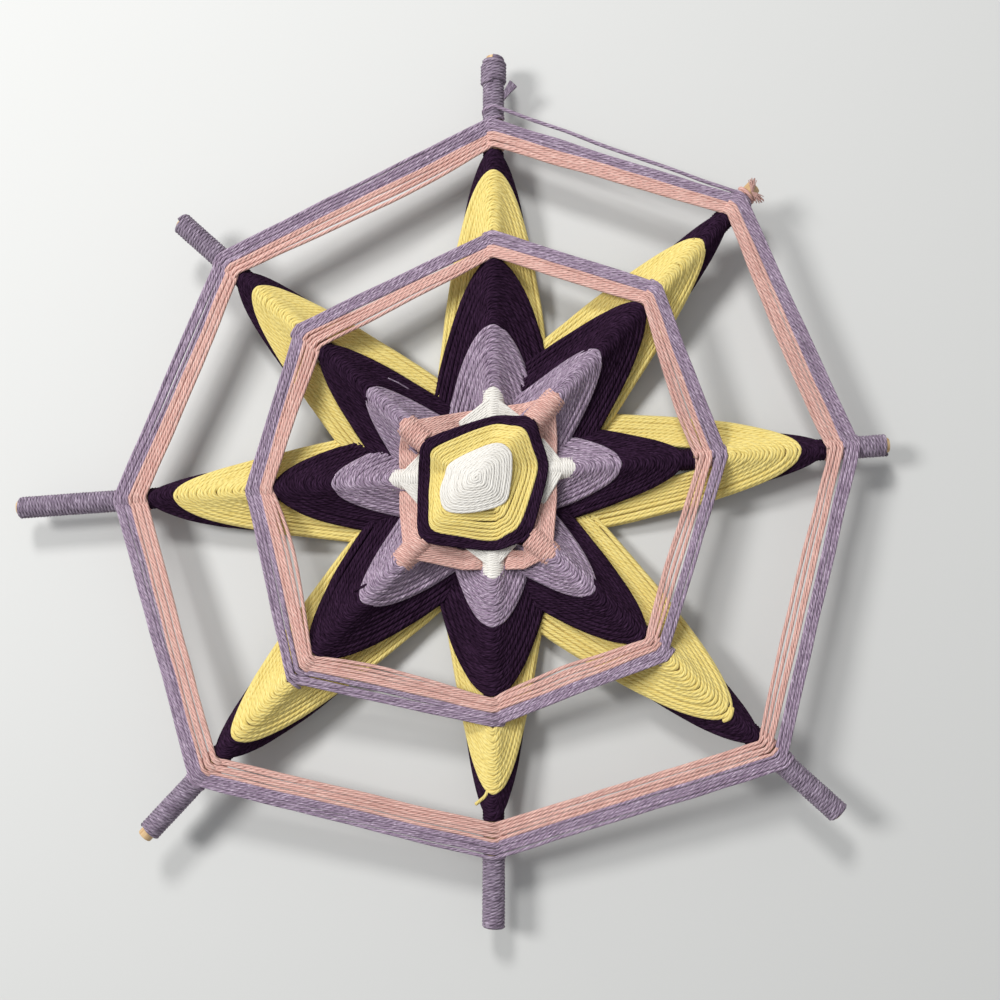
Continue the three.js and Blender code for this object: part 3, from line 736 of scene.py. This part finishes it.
def starKnobs(shape):
    knobs = []
    for number, arm in enumerate(arms):
        end = shape["to"][number] + shape["knobPast"][number]
        knobs.append(wrapStrand(arm, end - shape["knob"], end, shape["knobRing"], knobWrap["pitch"],
                                knobWrap["thickness"], shape["knobSeed"] + number))
    return knobs


# short loose threads: each place is distance out, left and height above the stick's axis
looseLine = {"perSpan": 4, "wander": 0.1}


def looseThreads(shape):
    threads = []
    for thread in shape["loose"]:
        arm = arms[thread["arm"]]
        points = [armPoint(arm, out, left, levelOf(arm) + height) for out, left, height in thread["places"]]
        points = smoothed(points, looseLine["perSpan"], False)
        threads.append(finished(points, False, thread["seed"], thread["thickness"], looseLine["wander"]))
    return threads


petals = {
    "rounds": 14, "thickness": 1.5, "height": -7.8, "sink": 1.0, "ring": 3.3, "stack": 2, "narrow": 0.58,
    "waist": 1.0, "seed": 80,
    "from": (32.4, 38.9, 32.8, 35.2, 32.9, 41.6, 34.7, 36.6),
    "to": (46.6, 57.6, 52.9, 48.7, 51.5, 57.4, 49.4, 52.9),
    "rightBow": (2.84, 2.30, 3.05, 2.17, 2.92, 2.30, 3.09, 2.42),
    "leftBow": (2.78, 2.05, 3.08, 2.50, 2.60, 2.90, 2.80, 2.34),
    "knob": 19.0, "knobPast": (0.0,) * armCount, "knobRing": 3.05, "knobSeed": 60,
    "loose": [
        {"arm": 3, "thickness": 0.4, "seed": 72,
         "places": ((47.6, -7.7, 0.2), (44.0, -8.8, -0.3), (39.8, -9.7, -1.1))},
    ],
}
strands = spindleStar(petals) + starKnobs(petals) + looseThreads(petals)
yarnPiece("lavender_petals_winding", "lavender_petals", strands, lavenderYarn)

darkStar = {
    "rounds": 18, "thickness": 1.58, "height": -9.4, "sink": 1.0, "ring": 3.3, "stack": 2, "narrow": 0.58,
    "waist": 1.0, "seed": 140,
    "from": (48.2, 59.2, 54.5, 50.3, 53.1, 59.0, 51.0, 54.5),
    "to": (67.6, 79.0, 76.2, 70.4, 71.6, 81.0, 72.6, 75.0),
    "rightBow": (2.55, 2.75, 3.30, 2.36, 3.00, 3.20, 3.50, 2.98),
    "leftBow": (2.40, 2.55, 3.08, 2.55, 3.04, 3.06, 3.20, 2.30),
    "knob": 22.0, "knobPast": (4.2, 0.2, 0.2, 0.2, 0.2, 0.2, 0.2, 0.2), "knobRing": 3.15, "knobSeed": 120,
    "loose": [
        {"arm": 5, "thickness": 0.9, "seed": 73,
         "places": ((57.4, -4.8, 1.0), (56.0, -4.2, 1.7), (53.6, -3.4, 2.5), (52.9, -3.0, 2.4))},
    ],
}
strands = spindleStar(darkStar) + starKnobs(darkStar) + looseThreads(darkStar)
yarnPiece("dark_star_winding", "purple_star", strands, purpleYarn)

yellowStar = {
    "rounds": 18, "thickness": 1.6, "height": -11.0, "sink": 1.0, "ring": 3.3, "stack": 2, "narrow": 0.52,
    "waist": 1.0, "seed": 220,
    "from": (84.0, 89.4, 87.6, 83.8, 83.0, 95.2, 84.6, 87.2),
    "to": (107.2, 109.4, 107.8, 101.9, 106.4, 119.8, 104.9, 112.3),
    "rightBow": (2.56, 2.16, 2.48, 2.40, 2.10, 2.33, 2.05, 2.90),
    "leftBow": (2.53, 2.37, 2.60, 2.70, 2.53, 2.43, 2.10, 2.50),
    "loose": [
        {"arm": 6, "thickness": 1.2, "seed": 74,
         "places": ((104.4, -1.8, 3.0), (106.1, -2.6, 2.8), (107.8, -4.4, 1.4), (109.1, -5.9, 0.2))},
        {"arm": 7, "thickness": 1.4, "seed": 75,
         "places": ((112.4, 2.2, 2.7), (113.2, 0.4, 4.0), (113.5, -1.2, 3.9), (112.9, -2.8, 2.7))},
    ],
}
strands = spindleStar(yellowStar) + looseThreads(yellowStar)
yarnPiece("yellow_star_winding", "yellow_star", strands, yellowYarn)

darkTips = {
    "rounds": 9, "thickness": 1.5, "height": -12.8, "sink": 0.4, "ring": 3.2, "stack": 1, "narrow": 0.88,
    "waist": 0.8, "seed": 300,
    "from": (108.4, 110.7, 109.1, 103.2, 107.7, 121.1, 106.2, 113.6),
    "to": (115.2, 121.0, 115.2, 109.2, 115.0, 127.2, 113.5, 124.2),
    "rightBow": (1.95, 1.60, 2.10, 2.10, 1.70, 2.10, 1.75, 2.30),
    "leftBow": (1.75, 1.50, 2.20, 2.55, 2.25, 2.25, 1.80, 1.55),
    "knob": 10.5, "knobPast": (0.9,) * armCount, "knobRing": 3.15, "knobSeed": 290,
}
strands = spindleStar(darkTips) + starKnobs(darkTips)
yarnPiece("dark_tips_winding", "purple_tips", strands, purpleYarn)


# a stretch of yarn from arm to arm that hangs a little slack towards the hub, more so at its start
slackLine = {"steps": 12, "lean": 1.5, "fall": 0.3}


def slackSpan(start, end, slack):
    middle = (start + end) * 0.5
    inward = Vector((-middle.x, -middle.y, 0.0)).normalized()
    points = []
    for step in range(1, slackLine["steps"]):
        share = step / slackLine["steps"]
        sag = slack * math.sin(math.pi * share) * (slackLine["lean"] - share)
        lower = Vector((0.0, 0.0, slackLine["fall"] * abs(sag)))
        points.append(start.lerp(end, share) + inward * sag - lower)
    return points


# an octagon band: one yarn from arm to arm, with a full turn round each stick
def octagonBand(inner, outer, shape, slack, apart, seed):
    draw = random.Random(seed)
    points = []
    for turn in range(shape["rounds"]):
        for number, arm in enumerate(arms):
            share = (turn + 0.5 + draw.uniform(-shape["stray"], shape["stray"])) / shape["rounds"]
            out = inner[number] + (outer[number] - inner[number]) * share
            came, left = apart.get(arm["name"], (0.0, 0.0)) if turn == shape["rounds"] - 1 else (0.0, 0.0)
            level = levelOf(arm)
            lift = draw.uniform(*shape["lift"])
            loop = []
            for step in range(shape["loopSteps"] + 1):
                around = step / shape["loopSteps"]
                sweep = -shape["overlap"] + (fullTurn + 2.0 * shape["overlap"]) * around
                ring = ridgeRing + lift * (1.0 - around)
                shifted = out + came + (left - came) * around
                loop.append(armPoint(arm, shifted, ring * math.sin(sweep), level + ring * math.cos(sweep)))
            if points:
                early = (shape["slackTill"] - share) ** shape["slackPower"]
                loose = slack.get(arms[number - 1]["name"], 0.0) * early * draw.uniform(*shape["slackRange"])
                loose += draw.uniform(-shape["spanStray"], shape["spanStray"])
                points.extend(slackSpan(points[-1], loop[0], loose))
            points.extend(loop)
    return finished(points, False, seed, shape["thickness"], shape["wander"])


octagon = {
    "rounds": 5, "stray": 0.25, "thickness": 1.26, "wander": 0.28, "lift": (0.5, 0.9), "loopSteps": 14,
    "overlap": 0.12, "slackTill": 1.1, "slackPower": 2.2, "slackRange": (0.6, 1.3), "spanStray": 0.25,
    "pinkSeed": 400, "lavenderSeed": 410,
}
innerOctagon = {
    "from": (71.9, 79.8, 77.0, 71.2, 72.4, 81.8, 73.5, 75.9),
    "seam": (77.7, 84.7, 81.6, 78.0, 76.8, 88.2, 78.5, 81.2),
    "to": (82.8, 88.6, 86.5, 82.8, 82.0, 94.0, 83.4, 86.0),
    "pinkSlack": {"left": 3.0, "lower_left": 2.6, "bottom": 1.2, "lower_right": 1.7, "right": 1.0},
    "lavenderSlack": {"left": 0.6, "lower_left": 0.5},
    "apart": {},
}
outerOctagon = {
    "from": (116.0, 122.0, 116.2, 110.2, 116.0, 128.2, 114.4, 125.2),
    "seam": (121.6, 126.2, 122.0, 114.8, 122.2, 134.9, 121.0, 132.0),
    "to": (127.2, 131.0, 127.8, 120.4, 128.0, 140.8, 126.6, 137.8),
    "pinkSlack": {"top": 1.5, "upper_left": 0.8, "right": 0.9, "lower_right": 1.0},
    "lavenderSlack": {"top": 0.6, "upper_left": 0.8, "left": 0.7},
    "apart": {"upper_right": (0.0, 0.4), "top": (4.0, 0.0)},
}
for number, (place, shape) in enumerate((("inner", innerOctagon), ("outer", outerOctagon))):
    pink = octagonBand(shape["from"], shape["seam"], octagon, shape["pinkSlack"], {},
                       octagon["pinkSeed"] + number)
    yarnPiece(place + "_pink_band", place + "_octagon_pink", [pink], pinkYarn)
    lavender = octagonBand(shape["seam"], shape["to"], octagon, shape["lavenderSlack"], shape["apart"],
                           octagon["lavenderSeed"] + number)
    yarnPiece(place + "_lavender_band", place + "_octagon_lavender", [lavender],
              lavenderYarn)


# the ends of seven sticks are wrapped in lavender, the top one twice at its end and with a flat tail
endWrap = {
    "bare": (1.0, 0.0, 1.0, 0.4, 1.2, 2.3, 0.7, 0.5), "overlap": 0.4,
    "ring": ridgeRing - 0.05, "pitch": 1.12, "thickness": 1.42, "seed": 420,
    "bulge": {"from": 9.0, "to": 1.6, "ring": ridgeRing + 0.7, "pitch": 1.2, "seed": 430},
    "tail": {"plies": 7, "thickness": 0.8, "rise": 0.4, "seed": 440,
             "root": (134.0, -2.9, 0.6), "rootOut": 0.25, "tip": (139.4, -8.2, 1.2), "tipOut": 0.32,
             "tipLeft": 0.34},
}


# plies side by side, each root and tip is distance out, left and height above the stick's axis
def flatTail(arm, tail):
    plies = []
    level = levelOf(arm)
    for ply in range(tail["plies"]):
        rootOut, rootLeft, rootHeight = tail["root"]
        tipOut, tipLeft, tipHeight = tail["tip"]
        root = armPoint(arm, rootOut + tail["rootOut"] * ply, rootLeft, level + rootHeight)
        tip = armPoint(arm, tipOut + tail["tipOut"] * ply, tipLeft + tail["tipLeft"] * ply, level + tipHeight)
        middle = root.lerp(tip, 0.5) + Vector((0.0, 0.0, tail["rise"]))
        plies.append(finished([root, middle, tip], False, tail["seed"] + ply, tail["thickness"]))
    return plies


for number, arm in enumerate(arms):
    if arm["name"] == "upper_right":
        continue
    last = arm["end"] - endWrap["bare"][number]
    strands = [wrapStrand(arm, outerOctagon["to"][number] - endWrap["overlap"], last, endWrap["ring"],
                          endWrap["pitch"], endWrap["thickness"], endWrap["seed"] + number)]
    if arm["name"] == "top":
        bulge = endWrap["bulge"]
        strands.append(wrapStrand(arm, last - bulge["from"], last - bulge["to"], bulge["ring"],
                                  bulge["pitch"], endWrap["thickness"], bulge["seed"]))
        strands.extend(flatTail(arm, endWrap["tail"]))
    yarnPiece(arm["name"] + "_wrap_winding", arm["name"] + "_end_wrap", strands, wrapYarn)


# a turn of pink on the upper right tip, with its two frayed ends
frayed = {
    "from": 131.2, "to": 133.6, "ring": ridgeRing - 0.1, "pitch": 1.3, "thickness": 1.3, "seed": 450,
    "ends": ((136.6, 1.0), (133.6, -5.0)), "hairs": 26, "hairThickness": 0.3, "hairSeed": 5, "perSpan": 3,
    "root": (-1.2, 3.2), "rootSpread": 0.4, "tipHeight": 2.6, "tipSpread": (1.3, 1.3, 0.8), "bow": (0.2, 0.8),
}
arm = arms[1]
draw = random.Random(frayed["hairSeed"])
strands = [wrapStrand(arm, frayed["from"], frayed["to"], frayed["ring"], frayed["pitch"], frayed["thickness"],
                      frayed["seed"])]
for out, left in frayed["ends"]:
    for hair in range(frayed["hairs"]):
        rootLeft, rootHeight = (middle + draw.uniform(-frayed["rootSpread"], frayed["rootSpread"])
                                for middle in frayed["root"])
        root = armPoint(arm, frayed["to"], rootLeft, levelOf(arm) + rootHeight)
        spread = Vector([draw.uniform(-reach, reach) for reach in frayed["tipSpread"]])
        tip = armPoint(arm, out, left, levelOf(arm) + frayed["tipHeight"]) + spread
        bend = root.lerp(tip, 0.5) + Vector((0.0, 0.0, draw.uniform(*frayed["bow"])))
        hairLine = smoothed([root, bend, tip], frayed["perSpan"], False)
        strands.append((hairLine, False, frayed["hairThickness"]))
yarnPiece("pink_frayed_end", "pink_loose_end", strands, pinkYarn)
print("yarn wound")


# pale table
floorSetup = {"half": 1.2, "colour": (0.80, 0.80, 0.79), "roughness": 0.7}
ground = bmesh.new()
bmesh.ops.create_grid(ground, x_segments=1, y_segments=1, size=floorSetup["half"])
groundMesh = bpy.data.meshes.new("table")
ground.to_mesh(groundMesh)
ground.free()
tableMaterial = bpy.data.materials.new("table")
tableMaterial.use_nodes = True
tableShader = tableMaterial.node_tree.nodes["Principled BSDF"]
tableShader.inputs["Base Color"].default_value = linear(floorSetup["colour"])
tableShader.inputs["Roughness"].default_value = floorSetup["roughness"]
groundMesh.materials.append(tableMaterial)
table = bpy.data.objects.new("table", groundMesh)
scene.collection.objects.link(table)


# soft light from the upper left
lamps = [
    {"name": "window", "place": (-0.74, 0.20, 0.90), "size": 0.34, "power": 8.6},
    {"name": "lamp", "place": (-0.19, 0.76, 0.92), "size": 0.27, "power": 7.2},
]
aim = Vector((0.01, 0.0, 0.0))
room = {"colour": (0.95, 0.97, 1.0, 1.0), "strength": 0.42}
for lamp in lamps:
    light = bpy.data.lights.new(lamp["name"], "AREA")
    light.shape = "DISK"
    light.size = lamp["size"]
    light.energy = lamp["power"]
    holder = bpy.data.objects.new(lamp["name"], light)
    holder.location = lamp["place"]
    holder.rotation_euler = (aim - Vector(lamp["place"])).to_track_quat("-Z", "Y").to_euler()
    scene.collection.objects.link(holder)
world = bpy.data.worlds.new("room")
world.use_nodes = True
world.node_tree.nodes["Background"].inputs[0].default_value = room["colour"]
world.node_tree.nodes["Background"].inputs[1].default_value = room["strength"]
scene.world = world
print("table and light set")
